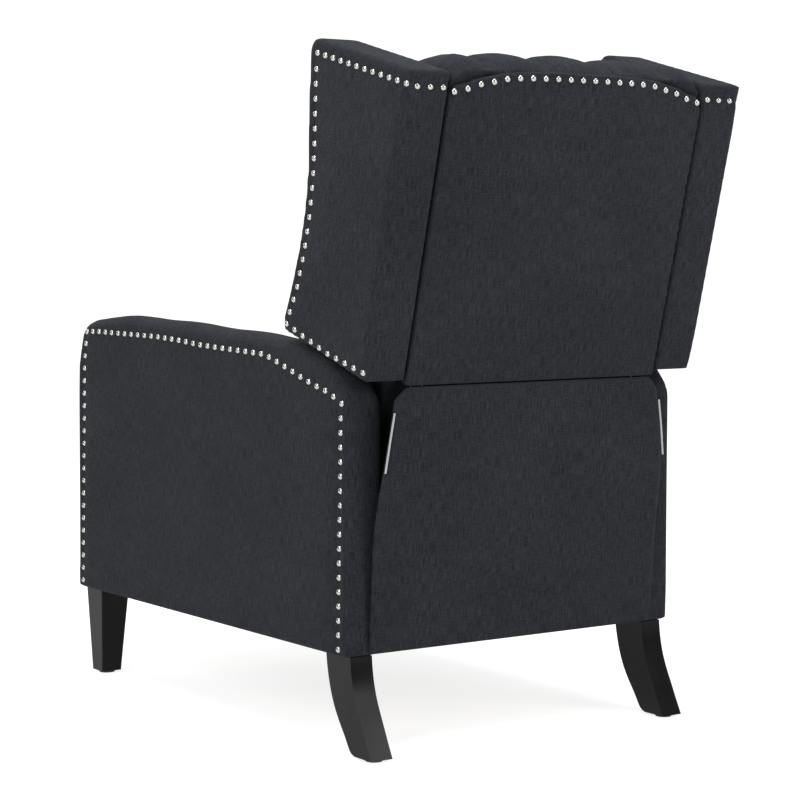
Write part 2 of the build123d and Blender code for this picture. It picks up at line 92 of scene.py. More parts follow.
# wing outline and nail lines as (height up the leaning rear face, reach forward of it)
WING_FRONT = [(0.013, 0.237), (0.033, 0.240), (0.086, 0.231), (0.148, 0.224), (0.208, 0.223), (0.267, 0.229),
              (0.320, 0.242), (0.377, 0.254), (0.430, 0.265), (0.455, 0.267), (0.4665, 0.256)]
WING_TOP_NAILS = [(0.445, 0.008), (0.445, 0.245)]
WING_FRONT_NAILS = [(0.421, 0.242), (0.377, 0.234), (0.320, 0.221), (0.267, 0.212), (0.208, 0.206),
                    (0.148, 0.207), (0.086, 0.2135), (0.045, 0.224)]
WING_LOW_NAILS = [(0.025, 0.229), (0.020, 0.181), (0.013, 0.109), (0.013, 0.010)]
WING_NAIL_LINES = [(WING_TOP_NAILS, 0.0212), (WING_FRONT_NAILS, 0.0225), (WING_LOW_NAILS, 0.0244)]
WING_REAR_NAILS = [0.256, 0.279, 0.302]
WING_REAR_NAIL_HEIGHT = 0.4425
# nail arch over the outer back: half width from the middle to height
BACK_ARCH = [(0.0, 0.463), (0.049, 0.463), (0.097, 0.462), (0.120, 0.461), (0.145, 0.459), (0.167, 0.454),
             (0.193, 0.449), (0.215, 0.441), (0.235, 0.437)]
BACK_PITCH = 0.0240
# half width of the lower rear cloth by height, and how far it stands behind the arms' rear plane
DROP_CLOTH = [(0.155, 0.2800, 0.001), (0.200, 0.2810, 0.006), (0.340, 0.2820, 0.019), (0.393, 0.2800, 0.028),
              (0.431, 0.2755, 0.033), (0.478, 0.2690, 0.036), (0.522, 0.2620, 0.038), (0.541, 0.2600, 0.039),
              (0.5610, 0.2400, 0.0418)]
# buttons as (height, places across), in rows that alternate
BUTTON_ROWS = [(0.420, (-0.172, -0.057, 0.057, 0.172)), (0.345, (-0.115, 0.0, 0.115)),
               (0.270, (-0.172, -0.057, 0.057, 0.172)), (0.195, (-0.115, 0.0, 0.115)),
               (0.120, (-0.172, -0.057, 0.057, 0.172))]
BUTTONS = [(x, u) for u, xs in BUTTON_ROWS for x in xs]
BUTTON_STEP = (0.0575, 0.075)                             # from a button to its diagonal neighbour
TAPE_FOOT, TAPE_LENGTH, TAPE_WIDTH = 0.432, 0.090, 0.0030
NAIL_PIT, NAIL_GROOVE = 0.0075, 0.007                     # reach of a nail's pull, and of its whole row's
OUTER_BACK_HALF, OUTER_BACK_FOOT, OUTER_BACK_DEPTH = 0.2435, -0.0085, 0.016
# inner back: half width, side outline as (height, reach), and how far its cloth may bulge sideways
CUSHION_HALF, CUSHION_LIMIT = 0.2400, 0.2425
CUSHION_OUTLINE = [(-0.138, 0.082), (-0.138, 0.178), (-0.124, 0.188), (0.418, 0.188), (0.440, 0.180),
                   (0.458, 0.160), (0.470, 0.126), (0.480, 0.088), (0.485, 0.050), (0.482, 0.022),
                   (0.470, 0.006), (0.440, 0.017), (0.430, 0.052), (-0.040, 0.056)]
CUSHION_REAR, CROWN_REAR, CROWN_FOOT = 0.050, 0.0045, 0.43  # rear faces of cushion and crown
SEAT_TUCK, SEAT_TOP = 0.016, 0.497                        # seat's reach under the back, and its height
PRESSURE = 4.0                                            # of the filling in seat, back and footrest


# ---- settings -------------------------------------------------------------------------------
class ReclinerCloth(bpy.types.PropertyGroup):
    """Upholstery cloth"""
    colour: bpy.props.FloatVectorProperty(name="Cloth", description="Ground colour of the cloth", size=3,
                                          subtype="COLOR", default=(0.0082, 0.0094, 0.0124), min=0, max=1)
    fleck: bpy.props.FloatVectorProperty(name="Fleck", description="Colour of the pale threads", size=3,
                                         subtype="COLOR", default=(0.029, 0.0315, 0.037), min=0, max=1)
    thread: bpy.props.FloatProperty(name="Thread", description="Spacing of the threads", default=0.0015,
                                    min=0.0004, max=0.004, unit="LENGTH")


class ReclinerNails(bpy.types.PropertyGroup):
    """Nailhead trim"""
    diameter: bpy.props.FloatProperty(name="Head", description="Diameter of a nailhead", default=0.0104,
                                      min=0.006, max=0.02, unit="LENGTH")
    height: bpy.props.FloatProperty(name="Dome", description="Height of the domed head", default=0.0036,
                                    min=0.001, max=0.008, unit="LENGTH")
    spread: bpy.props.FloatProperty(name="Spread", description="How far apart the nails stand, 1 as designed",
                                    default=1.0, min=0.5, max=2.0, subtype="FACTOR")
    colour: bpy.props.FloatVectorProperty(name="Nickel", description="Colour of the plating", size=3,
                                          subtype="COLOR", default=(0.50, 0.49, 0.46), min=0, max=1)


class ReclinerPadding(bpy.types.PropertyGroup):
    """Padding and tufting"""
    lean: bpy.props.FloatProperty(name="Lean", description="Lean of the back at rest", subtype="ANGLE",
                                  default=math.radians(14.41))
    grain: bpy.props.FloatProperty(name="Grain", description="Mesh size of the padded pieces", default=0.006,
                                   min=0.004, max=0.02, unit="LENGTH")
    tuft: bpy.props.FloatProperty(name="Tuft", description="Depth of a button in the back", default=0.024,
                                  min=0.0, max=0.05, unit="LENGTH")
    dimple: bpy.props.FloatProperty(name="Dimple", description="How far a nail pulls the cloth in",
                                    default=0.0022, min=0.0, max=0.008, unit="LENGTH")
    roll: bpy.props.FloatProperty(name="Roll", description="Radius along the top of an arm", default=0.021,
                                  min=0.005, max=0.03, unit="LENGTH")


class ReclinerFinish(bpy.types.PropertyGroup):
    """Legs and stage"""
    lacquer: bpy.props.FloatVectorProperty(name="Lacquer", description="Colour of the legs", size=3,
                                           subtype="COLOR", default=(0.0035, 0.0033, 0.0038), min=0, max=1)
    floor: bpy.props.FloatVectorProperty(name="Floor", description="Colour of the studio floor", size=3,
                                         subtype="COLOR", default=(0.36, 0.36, 0.36), min=0, max=1)


def settings(context):
    return context.scene.recliner_nails, context.scene.recliner_padding


# ---- geometry helpers -----------------------------------------------------------------------
def bell(distance, width):
    """1 at no distance, falling away smoothly over a width."""
    return np.exp(-(distance / width) ** 2)


def share(values):
    """Values held between 0 and 1."""
    return np.clip(values, 0, 1)


def lean_parts():
    """Sine and cosine of the back's lean."""
    lean = bpy.context.scene.recliner_padding.lean
    return math.sin(lean), math.cos(lean)


def tilt(u, v):
    """A point of the back, u up its rear face and v forward from it, as (y, z)."""
    sin, cos = lean_parts()
    return REAR_Y + BACK_FOOT[0] + u * sin - v * cos, BACK_FOOT[1] + u * cos + v * sin


def untilt(points):
    """Back's own (x, u, v) of an array of points."""
    sin, cos = lean_parts()
    dy = points[:, 1] - REAR_Y - BACK_FOOT[0]
    dz = points[:, 2] - BACK_FOOT[1]
    return points[:, 0], dy * sin + dz * cos, -dy * cos + dz * sin


def back_direction(u, v):
    """A direction given up and forward of the back's rear face."""
    sin, cos = lean_parts()
    return Vector((0.0, u * sin - v * cos, u * cos + v * sin))


def pushed(co, amount, u, v):
    """Points moved by an amount each in a direction of the back."""
    return co + np.outer(amount, np.array(back_direction(u, v)))


def side_edges(test):
    """An edge test for the back's pieces: edges that don't run across, by their height u and reach v."""
    def chosen(middle, way):
        _, u, v = untilt(np.array([middle]))
        return abs(way.x) < 0.1 and test(u[0], v[0])

    return chosen


def clear_selection():
    if bpy.context.object and bpy.context.object.mode != "OBJECT":
        bpy.ops.object.mode_set(mode="OBJECT")
    bpy.ops.object.select_all(action="DESELECT")


def make_active(piece):
    clear_selection()
    piece.select_set(True)
    bpy.context.view_layer.objects.active = piece


def apply_modifier(piece, kind, **values):
    make_active(piece)
    modifier = piece.modifiers.new(kind.lower(), kind)
    for key, value in values.items():
        setattr(modifier, key, value)
    bpy.ops.object.modifier_apply(modifier=modifier.name)


def coordinates(piece):
    co = np.zeros(len(piece.data.vertices) * 3)
    piece.data.vertices.foreach_get("co", co)
    return co.reshape(-1, 3)


def set_coordinates(piece, co):
    piece.data.vertices.foreach_set("co", np.ascontiguousarray(co, dtype=np.float32).ravel())
    piece.data.update()


def normals(piece):
    no = np.zeros(len(piece.data.vertices) * 3)
    piece.data.vertices.foreach_get("normal", no)
    return no.reshape(-1, 3)


def face_outwards(piece):
    """Turn every face of a closed piece outwards."""
    make_active(piece)
    bpy.ops.object.mode_set(mode="EDIT")
    bpy.ops.mesh.select_all(action="SELECT")
    bpy.ops.mesh.normals_make_consistent(inside=False)
    bpy.ops.object.mode_set(mode="OBJECT")


def extruded(name, corners, step):
    """A flat face with the given corners, drawn out by a step into a closed block."""
    clear_selection()
    bpy.ops.mesh.primitive_circle_add(vertices=len(corners), radius=0.1, fill_type="NGON", location=(0, 0, 0))
    block = bpy.context.object
    block.name = name
    for vertex, corner in zip(block.data.vertices, corners):
        vertex.co = corner
    bpy.ops.object.mode_set(mode="EDIT")
    bpy.ops.mesh.select_all(action="SELECT")
    bpy.ops.mesh.extrude_region_move(TRANSFORM_OT_translate={"value": step})
    face_outwards(block)
    return block


def outline_block(name, ring, x0, x1):
    """A block with a side outline of (y, z) points, from x0 across to x1."""
    return extruded(name, [(x0, y, z) for y, z in ring], (x1 - x0, 0, 0))


def box_block(name, low, high):
    """A box from its lowest to its highest corner."""
    clear_selection()
    middle = [(a + b) / 2 for a, b in zip(low, high)]
    bpy.ops.mesh.primitive_cube_add(size=1, location=middle, scale=[b - a for a, b in zip(low, high)])
    block = bpy.context.object
    block.name = name
    bpy.ops.object.transform_apply(location=True, rotation=True, scale=True)
    return block


def bevel_where(block, chosen, radius, segments=4):
    """Round the edges that a test of (middle, direction) picks."""
    make_active(block)
    bpy.ops.object.mode_set(mode="EDIT")
    bpy.ops.mesh.select_mode(type="EDGE")
    bpy.ops.mesh.select_all(action="DESELECT")
    mesh = bmesh.from_edit_mesh(block.data)
    for edge in mesh.edges:
        a, b = (v.co for v in edge.verts)
        if chosen((a + b) / 2, (b - a).normalized()):
            edge.select_set(True)
    bmesh.update_edit_mesh(block.data)
    bpy.ops.mesh.bevel(offset=radius, segments=segments, affect="EDGES", clamp_overlap=True)
    bpy.ops.object.mode_set(mode="OBJECT")


def even_mesh(piece, size, rounds=3):
    """Even out the mesh and take the last hard corners off."""
    apply_modifier(piece, "REMESH", mode="VOXEL", voxel_size=size)
    apply_modifier(piece, "SMOOTH", factor=0.5, iterations=rounds)


def swell(piece, pressure, cap, held=None):
    """Blow a pad up as cloth under pressure, with each point's travel capped."""
    rest = coordinates(piece)
    make_active(piece)
    cloth = piece.modifiers.new("cloth", "CLOTH")
    cloth.settings.quality = 4
    cloth.settings.mass = 0.35
    cloth.settings.use_pressure = True
    cloth.settings.uniform_pressure_force = pressure
    cloth.settings.effector_weights.gravity = 0
    cloth.settings.tension_stiffness = 12
    cloth.settings.compression_stiffness = 12
    cloth.settings.bending_stiffness = 1.5
    cloth.collision_settings.use_collision = False
    if held is not None:
        group = piece.vertex_groups.new(name="held")
        group.add([int(i) for i in np.nonzero(held)[0]], 1.0, "REPLACE")
        cloth.settings.vertex_group_mass = "held"
    for number in range(1, 21):
        bpy.context.scene.frame_set(number)
    shown = piece.evaluated_get(bpy.context.evaluated_depsgraph_get())
    moved = np.zeros(len(rest) * 3)
    shown.data.vertices.foreach_get("co", moved)
    step = moved.reshape(-1, 3) - rest
    length = np.linalg.norm(step, axis=1, keepdims=True) + 1e-9
    piece.modifiers.remove(cloth)
    piece.vertex_groups.clear()
    bpy.context.scene.frame_set(1)
    set_coordinates(piece, rest + step / length * cap * np.tanh(length / cap))


def shade(piece, angle=None):
    make_active(piece)
    if angle is None:
        bpy.ops.object.shade_smooth()
    else:
        bpy.ops.object.shade_smooth_by_angle(angle=math.radians(angle))


def dress(piece, material, body=None, replaces=()):
    """Give a piece its material and its body, and hide the nodes it stands for."""
    piece.data.materials.clear()
    piece.data.materials.append(material)
    if body:
        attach(piece, body)
    if replaces:
        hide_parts(*replaces)
    return piece


def both_sides(piece, right_name):
    """A left piece with its mirror image on the other side."""
    other = piece.copy()
    other.data = piece.data.copy()
    other.name = right_name
    bpy.context.scene.collection.objects.link(other)
    other.data.transform(Matrix.Diagonal((-1, 1, 1, 1)))
    other.data.flip_normals()
    return {"left": piece, "right": other}


def joined_copies(name, shape, matrices):
    """Copies of a small shape, each placed by a matrix, joined into one piece. The shape itself goes."""
    copies = []
    for matrix in matrices:
        copy = shape.copy()
        copy.data = shape.data.copy()
        bpy.context.scene.collection.objects.link(copy)
        copy.data.transform(matrix)
        copies.append(copy)
    bpy.data.objects.remove(shape)
    clear_selection()
    for copy in copies:
        copy.select_set(True)
    bpy.context.view_layer.objects.active = copies[0]
    bpy.ops.object.join()
    bpy.context.object.name = name
    return bpy.context.object


def standing(axis, place):
    """A matrix that stands a shape's +Z along an axis at a place."""
    return Matrix.Translation(place) @ axis.to_track_quat("Z", "Y").to_matrix().to_4x4()


def spaced(line, pitch):
    """Evenly spaced points along a broken line, both ends included."""
    line = [np.array(p, float) for p in line]
    lengths = [float(np.linalg.norm(b - a)) for a, b in zip(line, line[1:])]
    count = max(1, round(sum(lengths) / pitch))
    points = []
    for k in range(count + 1):
        s, i = sum(lengths) * k / count, 0
        while i < len(lengths) - 1 and s > lengths[i]:
            s -= lengths[i]
            i += 1
        points.append(tuple(line[i] + (line[i + 1] - line[i]) * min(1.0, s / lengths[i])))
    return points


def rows(lines, nails):
    """All the nails of some lines, each line at its own pitch."""
    return [point for line, pitch in lines for point in spaced(line, pitch * nails.spread)]


def lines_distance(points, lines):
    return np.minimum.reduce([line_distance(points, line) for line, _ in lines])


def line_distance(points, line):
    """Distance of each 2-D point to a broken line."""
    best = np.full(len(points), 1e3)
    for a, b in zip(line, line[1:]):
        a, b = np.array(a), np.array(b)
        t = share(((points - a) @ (b - a)) / ((b - a) @ (b - a)))
        best = np.minimum(best, np.linalg.norm(points - (a + t[:, None] * (b - a)), axis=1))
    return best


def nail_pull(points, lines, nails, depth):
    """How far cloth is drawn in along nail lines, deepest at each nail."""
    pull = 0.45 * depth * bell(lines_distance(points, lines), NAIL_GROOVE)
    for nail in nails:
        pull += depth * bell(np.linalg.norm(points - np.array(nail), axis=1), NAIL_PIT)
    return pull


def welt(name, path, radius, closed=True):
    """Piping: a round cord sewn into a seam, along a path of points."""
    curve = bpy.data.curves.new(name, "CURVE")
    curve.dimensions = "3D"
    spline = curve.splines.new("POLY")
    spline.points.add(len(path) - 1)
    for point, place in zip(spline.points, path):
        point.co = (*place, 1.0)
    spline.use_cyclic_u = closed
    curve.bevel_depth = radius
    curve.bevel_resolution = 2
    curve.use_fill_caps = not closed
    piece = bpy.data.objects.new(name, curve)
    bpy.context.scene.collection.objects.link(piece)
    make_active(piece)
    bpy.ops.object.convert(target="MESH")
    shade(bpy.context.object)
    return bpy.context.object


# ---- shader groups and materials ------------------------------------------------------------
class Board:
    """Short hand for placing and joining shader nodes in one tree."""

    def __init__(self, tree):
        self.tree = tree

    def add(self, kind, inputs=None, **values):
        node = self.tree.nodes.new(kind)
        for key, value in values.items():
            setattr(node, key, value)
        self.give(node, inputs or {})
        return node

    def give(self, node, inputs):
        for key, value in inputs.items():
            self.feed(node.inputs[key], value)

    def feed(self, socket, value):
        if isinstance(value, bpy.types.NodeSocket):
            self.tree.links.new(value, socket)
        else:
            socket.default_value = value

    def calc(self, kind, a, b=0.0, c=0.0):
        return self.add("ShaderNodeMath", {0: a, 1: b, 2: c}, operation=kind).outputs[0]

    def total(self, parts):
        return self.calc("ADD", self.calc("ADD", parts[0], parts[1]), parts[2])

    def noise(self, vector, scale, detail=2.0, rough=0.5):
        inputs = {"Vector": vector, "Scale": scale, "Detail": detail, "Roughness": rough}
        return self.add("ShaderNodeTexNoise", inputs).outputs["Fac"]

    def stretch(self, vector, factors):
        return self.add("ShaderNodeVectorMath", {0: vector, 1: factors}, operation="MULTIPLY").outputs[0]

    def scaled(self, vector, factor):
        return self.add("ShaderNodeVectorMath", {0: vector, "Scale": factor}, operation="SCALE").outputs[0]

    def ramp(self, value, low, high, out_low=0.0, out_high=1.0):
        inputs = {"Value": value, "From Min": low, "From Max": high, "To Min": out_low, "To Max": out_high}
        return self.add("ShaderNodeMapRange", inputs).outputs[0]

    def mix(self, mask, a, b):
        a, b = ((*c, 1.0) if isinstance(c, tuple) else c for c in (a, b))
        return self.add("ShaderNodeMix", {0: mask, 6: a, 7: b}, data_type="RGBA").outputs[2]

    def bump(self, shader, height, strength, distance):
        node = self.add("ShaderNodeBump", {"Strength": strength, "Distance": distance, "Height": height})
        self.feed(shader.inputs["Normal"], node.outputs[0])

    def group(self, tree, **inputs):
        return self.add("ShaderNodeGroup", inputs, node_tree=tree).outputs


def new_group(name, inputs, outputs):
    """An empty shader group: its board, what it is given and what it puts out."""
    tree = bpy.data.node_groups.new(name, "ShaderNodeTree")
    for label, default in inputs:
        kind = "NodeSocketVector" if default is None else "NodeSocketFloat"
        socket = tree.interface.new_socket(label, in_out="INPUT", socket_type=kind)
        if default is not None:
            socket.default_value = default
    for label in outputs:
        tree.interface.new_socket(label, in_out="OUTPUT", socket_type="NodeSocketFloat")
    board = Board(tree)
    return board, board.add("NodeGroupInput").outputs, board.add("NodeGroupOutput")


def weave_group():
    """Plain linen weave laid on a face by the way it looks: thread height, pale flecks and slow shading."""
    name = "plain weave"
    if name in bpy.data.node_groups:
        return bpy.data.node_groups[name]
    inputs = [("Vector", None), ("Facing", None), ("Thread", 0.0012)]
    board, given, out = new_group(name, inputs, ["Height", "Fleck", "Cloud"])
    place = board.add("ShaderNodeSeparateXYZ", {0: given["Vector"]}).outputs
    facing = board.add("ShaderNodeSeparateXYZ", {0: given["Facing"]}).outputs
    weights = [board.calc("POWER", board.calc("ABSOLUTE", facing[i]), 6.0) for i in range(3)]
    weight = board.total(weights)
    per_thread = board.calc("DIVIDE", 1.0, given["Thread"])
    heights = []
    flecks = []
    for axis, (a, b) in enumerate(((1, 2), (0, 2), (0, 1))):
        across = board.calc("MULTIPLY", place[a], per_thread)
        up = board.calc("MULTIPLY", place[b], per_thread)
        flat = board.add("ShaderNodeCombineXYZ", {0: across, 1: up}).outputs[0]
        warp = board.noise(board.stretch(flat, (0.95, 0.07, 1.0)), 1.0, 2.0, 0.6)
        weft = board.noise(board.stretch(flat, (0.10, 0.95, 1.0)), 1.0, 2.0, 0.6)
        split = board.add("ShaderNodeSeparateXYZ", {0: board.stretch(flat, (math.pi, math.pi, 1.0))}).outputs
        cross = board.calc("MULTIPLY", board.calc("SINE", split[0]), board.calc("SINE", split[1]))
        threads = board.calc("MULTIPLY_ADD", cross, 0.22, board.calc("MAXIMUM", warp, weft))
        slubs = board.calc("MULTIPLY_ADD", warp, 0.62, board.calc("MULTIPLY", weft, 0.38))
        part = board.calc("DIVIDE", weights[axis], weight)
        heights.append(board.calc("MULTIPLY", threads, part))
        flecks.append(board.calc("MULTIPLY", slubs, part))
    fleck = board.ramp(board.total(flecks), 0.39, 0.67)
    cloud = board.noise(given["Vector"], 7.0, 3.0, 0.55)
    board.give(out, {"Height": board.total(heights), "Fleck": fleck, "Cloud": cloud})
    return board.tree


def grain_group():
    """Straight wood grain along Z: fine pores, growth bands and slow colour change."""
    name = "wood grain"
    if name in bpy.data.node_groups:
        return bpy.data.node_groups[name]
    board, given, out = new_group(name, [("Vector", None)], ["Band", "Pore", "Cloud"])
    place = given["Vector"]
    band = board.noise(board.stretch(place, (60.0, 60.0, 3.0)), 1.0, 4.0, 0.6)
    pore = board.noise(board.stretch(place, (420.0, 420.0, 16.0)), 1.0, 2.0, 0.6)
    board.give(out, {"Band": band, "Pore": pore, "Cloud": board.noise(place, 9.0, 2.0, 0.5)})
    return board.tree


def handling_group():
    """Slow smears that change how a hard finish shines."""
    name = "handling marks"
    if name in bpy.data.node_groups:
        return bpy.data.node_groups[name]
    board, given, out = new_group(name, [("Vector", None), ("Scale", 1.0)], ["Smear"])
    place = board.scaled(given["Vector"], given["Scale"])
    board.give(out, {"Smear": board.noise(place, 22.0, 4.0, 0.6)})
    return board.tree


def new_material(name):
    """An empty material: its board, its shader and its object coordinates."""
    material = bpy.data.materials.new(name)
    material.use_nodes = True
    board = Board(material.node_tree)
    return material, board, board.tree.nodes["Principled BSDF"], board.add("ShaderNodeTexCoord").outputs


def cloth_material(name, lean=0.0, tint=1.0):
    """Upholstery cloth, with its threads turned to follow a leaning piece."""
    if name in bpy.data.materials:
        return bpy.data.materials[name]
    cloth = bpy.context.scene.recliner_cloth
    material, board, shader, place = new_material(name)
    turn = (lean, 0, 0)
    turned = board.add("ShaderNodeMapping", {"Vector": place["Object"], "Rotation": turn}).outputs[0]
    facing = board.add("ShaderNodeMapping", {"Vector": place["Normal"], "Rotation": turn},
                       vector_type="NORMAL")
    weave = board.group(weave_group(), Vector=turned, Facing=facing.outputs[0], Thread=cloth.thread)
    ground = tuple(c * tint for c in cloth.colour)
    pale = tuple(c * tint for c in cloth.fleck)
    shaded = tuple(c * 0.45 for c in ground)
    threads = board.mix(weave["Fleck"], ground, pale)
    worn = board.mix(board.ramp(weave["Cloud"], 0.35, 0.7, 0.0, 0.14), threads, shaded)
    board.give(shader, {"Base Color": worn, "Roughness": board.ramp(weave["Cloud"], 0.3, 0.7, 0.82, 0.95),
                        "Specular IOR Level": 0.10, "Sheen Weight": 0.02, "Sheen Roughness": 0.5,
                        "Sheen Tint": (0.55, 0.62, 0.75, 1.0)})
    board.bump(shader, weave["Height"], 0.7, 0.0009)
    return material


def hard_material(name, colour, rough, metallic=0.0, coat=0.0, scale=1.0, spread=0.08):
    """Metal, moulded plastic or tape, with handling marks in its shine."""
    if name in bpy.data.materials:
        return bpy.data.materials[name]
    material, board, shader, place = new_material(name)
    smear = board.group(handling_group(), Vector=place["Object"], Scale=scale)["Smear"]
    tone = board.mix(smear, tuple(c * 0.82 for c in colour), colour)
    shine = board.ramp(smear, 0.3, 0.7, rough - spread, rough + spread)
    board.give(shader, {"Base Color": tone, "Roughness": shine, "Metallic": metallic, "Coat Weight": coat,
                        "Coat Roughness": 0.12})
    return material


def wood_material(name, light, dark, rough, turn, pores):
    """Wood or lacquer over wood, its grain turned to run along the pieces."""
    if name in bpy.data.materials:
        return bpy.data.materials[name]
    material, board, shader, place = new_material(name)
    turned = board.add("ShaderNodeMapping", {"Vector": place["Object"], "Rotation": turn}).outputs[0]
    grain = board.group(grain_group(), Vector=turned)
    banded = board.mix(board.ramp(grain["Band"], 0.35, 0.65), dark, light)
    pored = board.mix(board.ramp(grain["Pore"], 0.55, 0.75, 0.0, 0.5), banded, tuple(c * 0.5 for c in dark))
    shine = board.ramp(grain["Cloud"], 0.3, 0.7, rough - 0.06, rough + 0.08)
    board.give(shader, {"Base Color": pored, "Roughness": shine, "Specular IOR Level": 0.13})
    board.bump(shader, grain["Pore"], pores, 0.0004)
    return material


def foam_material():
    """Open cells of cut foam, slowly yellowed."""
    name = "cut foam"
    if name in bpy.data.materials:
        return bpy.data.materials[name]
    material, board, shader, place = new_material(name)
    cells = board.noise(place["Object"], 700.0, 3.0, 0.7)
    yellowed = board.noise(place["Object"], 6.0, 2.0, 0.5)
    tone = board.mix(yellowed, (0.72, 0.66, 0.46), (0.82, 0.77, 0.60))
    board.give(shader, {"Base Color": tone, "Roughness": board.ramp(cells, 0.3, 0.7, 0.85, 1.0)})
    board.bump(shader, cells, 0.6, 0.001)
    return material


def stage_material(colour):
    """Studio floor that glows with painted light, weaker near the chair and brightening to white away from it,
    which also keeps its shadows faint.
    """
    material, board, shader, place = new_material("studio floor")
    soft = board.noise(place["Object"], 0.6, 2.0, 0.5)
    tone = board.mix(soft, tuple(c * 0.99 for c in colour), colour)
    reach = board.add("ShaderNodeVectorMath", {0: place["Object"]}, operation="LENGTH").outputs["Value"]
    # painted light: the floor emits 0.82 near the chair, rising to 1.0 from 1 m to 3 m out, lifting shadows and
    # whitening the far floor
    painted_glow = board.mix(board.ramp(reach, 1.0, 3.0, 0.82, 1.0), (0.0, 0.0, 0.0), (1.0, 1.0, 1.0))
    board.give(shader, {"Base Color": tone, "Roughness": board.ramp(soft, 0.3, 0.7, 0.55, 0.65),
                        "Specular IOR Level": 0.0, "Emission Color": painted_glow, "Emission Strength": 1.0})
    return material


# ---- nailheads ------------------------------------------------------------------------------
def one_nail(nails):
    """One domed head on a thin collar, pointing up +Z."""
    r = (nails.diameter ** 2 / 4 + nails.height ** 2) / (2 * nails.height)
    clear_selection()
    bpy.ops.mesh.primitive_uv_sphere_add(segments=14, ring_count=24, radius=r, location=(0, 0, 0))
    head = bpy.context.object
    bpy.ops.object.mode_set(mode="EDIT")
    bpy.ops.mesh.select_all(action="SELECT")
    rim = (0, 0, r - nails.height)
    bpy.ops.mesh.bisect(plane_co=rim, plane_no=(0, 0, 1), clear_inner=True, use_fill=False)
    bpy.ops.mesh.select_all(action="DESELECT")
    bpy.ops.mesh.select_mode(type="EDGE")
    bpy.ops.mesh.select_non_manifold()
    bpy.ops.mesh.extrude_region_move(TRANSFORM_OT_translate={"value": (0, 0, -0.0012)})
    bpy.ops.transform.resize(value=(0.94, 0.94, 1.0))
    bpy.ops.mesh.edge_face_add()
    bpy.ops.mesh.select_all(action="SELECT")
    bpy.ops.transform.translate(value=(0, 0, nails.height - r))
    bpy.ops.mesh.normals_make_consistent(inside=False)
    bpy.ops.object.mode_set(mode="OBJECT")
    shade(head, 50)
    return head


def nail_row(name, cloth_piece, rays, body, node):
    """Nails where rays of (start, direction) meet a cloth piece, as one piece in place of a node."""
    bpy.context.view_layer.update()
    head = one_nail(bpy.context.scene.recliner_nails)
    matrices = []
    for number, (start, direction) in enumerate(rays):
        direction = Vector(direction)
        hit, place, normal, _ = cloth_piece.ray_cast(Vector(start), direction)
        if not hit:
            raise RuntimeError(f"{name}: nail {number} misses its cloth")
        matrices.append(standing((normal * 0.5 - direction).normalized(), place - direction * 0.0002))
    dress(joined_copies(name, head, matrices), nickel(), body, (node,))


def nickel():
    colour = tuple(bpy.context.scene.recliner_nails.colour)
    return hard_material("nickel nailhead", colour, 0.17, metallic=1.0, scale=3.0, spread=0.04)


def zip_tape():
    return hard_material("zip tape", (0.36, 0.36, 0.37), 0.8, scale=8.0, spread=0.4)


# ---- pieces ---------------------------------------------------------------------------------
class RECLINER_OT_stage(bpy.types.Operator):
    """Pale floor, soft studio light and the camera"""
    bl_idname = "recliner.stage"
    bl_label = "Stage"

    def execute(self, context):
        finish = context.scene.recliner_finish
        clear_selection()
        bpy.ops.mesh.primitive_plane_add(size=60, location=(0, 0, 0))
        floor = context.object
        floor.name = "studio_floor"
        floor.data.materials.append(stage_material(tuple(finish.floor)))
        context.scene.view_settings.view_transform = "Standard"
        world = bpy.data.worlds.new("studio")
        world.use_nodes = True
        board = Board(world.node_tree)
        seen = board.add("ShaderNodeLightPath").outputs["Is Camera Ray"]
        backdrop = world.node_tree.nodes["Background"]
        board.feed(backdrop.inputs["Strength"], board.ramp(seen, 0.0, 1.0, 0.34, 1.1))
        backdrop.inputs["Color"].default_value = (1.0, 1.0, 1.0, 1.0)
        context.scene.world = world
        for name, place, power, size, aim in (
                ("top", (0.3, 0.6, 4.2), 190, 3.4, (0, 0, 0.3)),
                ("key", (3.4, 1.6, 2.4), 75, 1.6, (0, 0, 0.5)),
                ("rear", (-1.6, 3.6, 2.0), 60, 1.8, (0, 0, 0.5)),
                ("front", (0.4, -3.4, 2.8), 60, 2.8, (0, 0, 0.5))):
            light = bpy.data.lights.new(name, "AREA")
            light.energy = power
            light.size = size
            lamp = bpy.data.objects.new(name, light)
            lamp.location = place
            lamp.rotation_euler = (Vector(aim) - Vector(place)).to_track_quat("-Z", "Y").to_euler()
            context.scene.collection.objects.link(lamp)
        # the view is from behind and to the left, turned and tipped by these angles
        turn, down = math.radians(34.101), math.radians(3.035)
        lens = bpy.data.cameras.new("view")
        lens.lens = 101.73
        lens.sensor_width = 36.0
        lens.shift_x = 0.05
        lens.shift_y = -0.05
        camera = bpy.data.objects.new("view", lens)
        camera.location = (2.18551, REAR_Y + 2.78903, 0.77949)
        look = Vector((-math.sin(turn) * math.cos(down), -math.cos(turn) * math.cos(down), -math.sin(down)))
        camera.rotation_euler = look.to_track_quat("-Z", "Y").to_euler()
        context.scene.collection.objects.link(camera)
        context.scene.camera = camera
        return {"FINISHED"}


